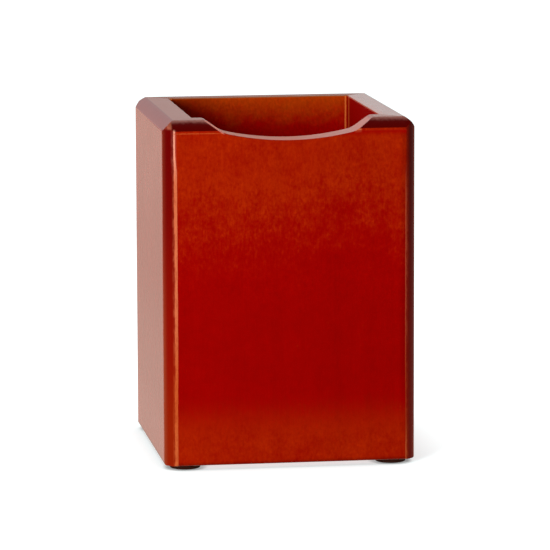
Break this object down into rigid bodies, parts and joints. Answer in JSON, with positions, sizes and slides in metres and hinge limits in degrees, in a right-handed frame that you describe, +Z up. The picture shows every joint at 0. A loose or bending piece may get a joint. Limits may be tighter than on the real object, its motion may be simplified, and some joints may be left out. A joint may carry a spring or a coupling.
{
  "type": "wooden pencil cup",
  "caption": "Square pencil cup of chamfered, red-stained lacquered boards with a shallow finger scoop in the front edge and thin round rubber feet.",
  "frame": {"origin": "on the table, under the middle of the cup", "axes": "+Z up, the scooped front board faces -Y, +X to the right seen from the front"},
  "size_m": [0.0826, 0.0826, 0.1143],
  "materials": {
    "lacquered_boards": "red mahogany stain under glossy clear lacquer, arrises rubbed through to orange",
    "lacquered_base": "red mahogany stain under thin satin lacquer",
    "spline_wood": "bare birch plywood, hidden in the mitres",
    "foot_rubber": "matt dark brown rubber"
  },
  "bodies": {
    "root": {"front_panel": "lacquered_boards", "back_panel": "lacquered_boards", "left_side_panel": "lacquered_boards", "right_side_panel": "lacquered_boards", "base_panel": "lacquered_base", "mitre_spline_front_left": "spline_wood", "mitre_spline_front_right": "spline_wood", "mitre_spline_rear_left": "spline_wood", "mitre_spline_rear_right": "spline_wood", "foot_front_left": "foot_rubber", "foot_front_right": "foot_rubber", "foot_rear_left": "foot_rubber", "foot_rear_right": "foot_rubber"}
  },
  "joints": []
}
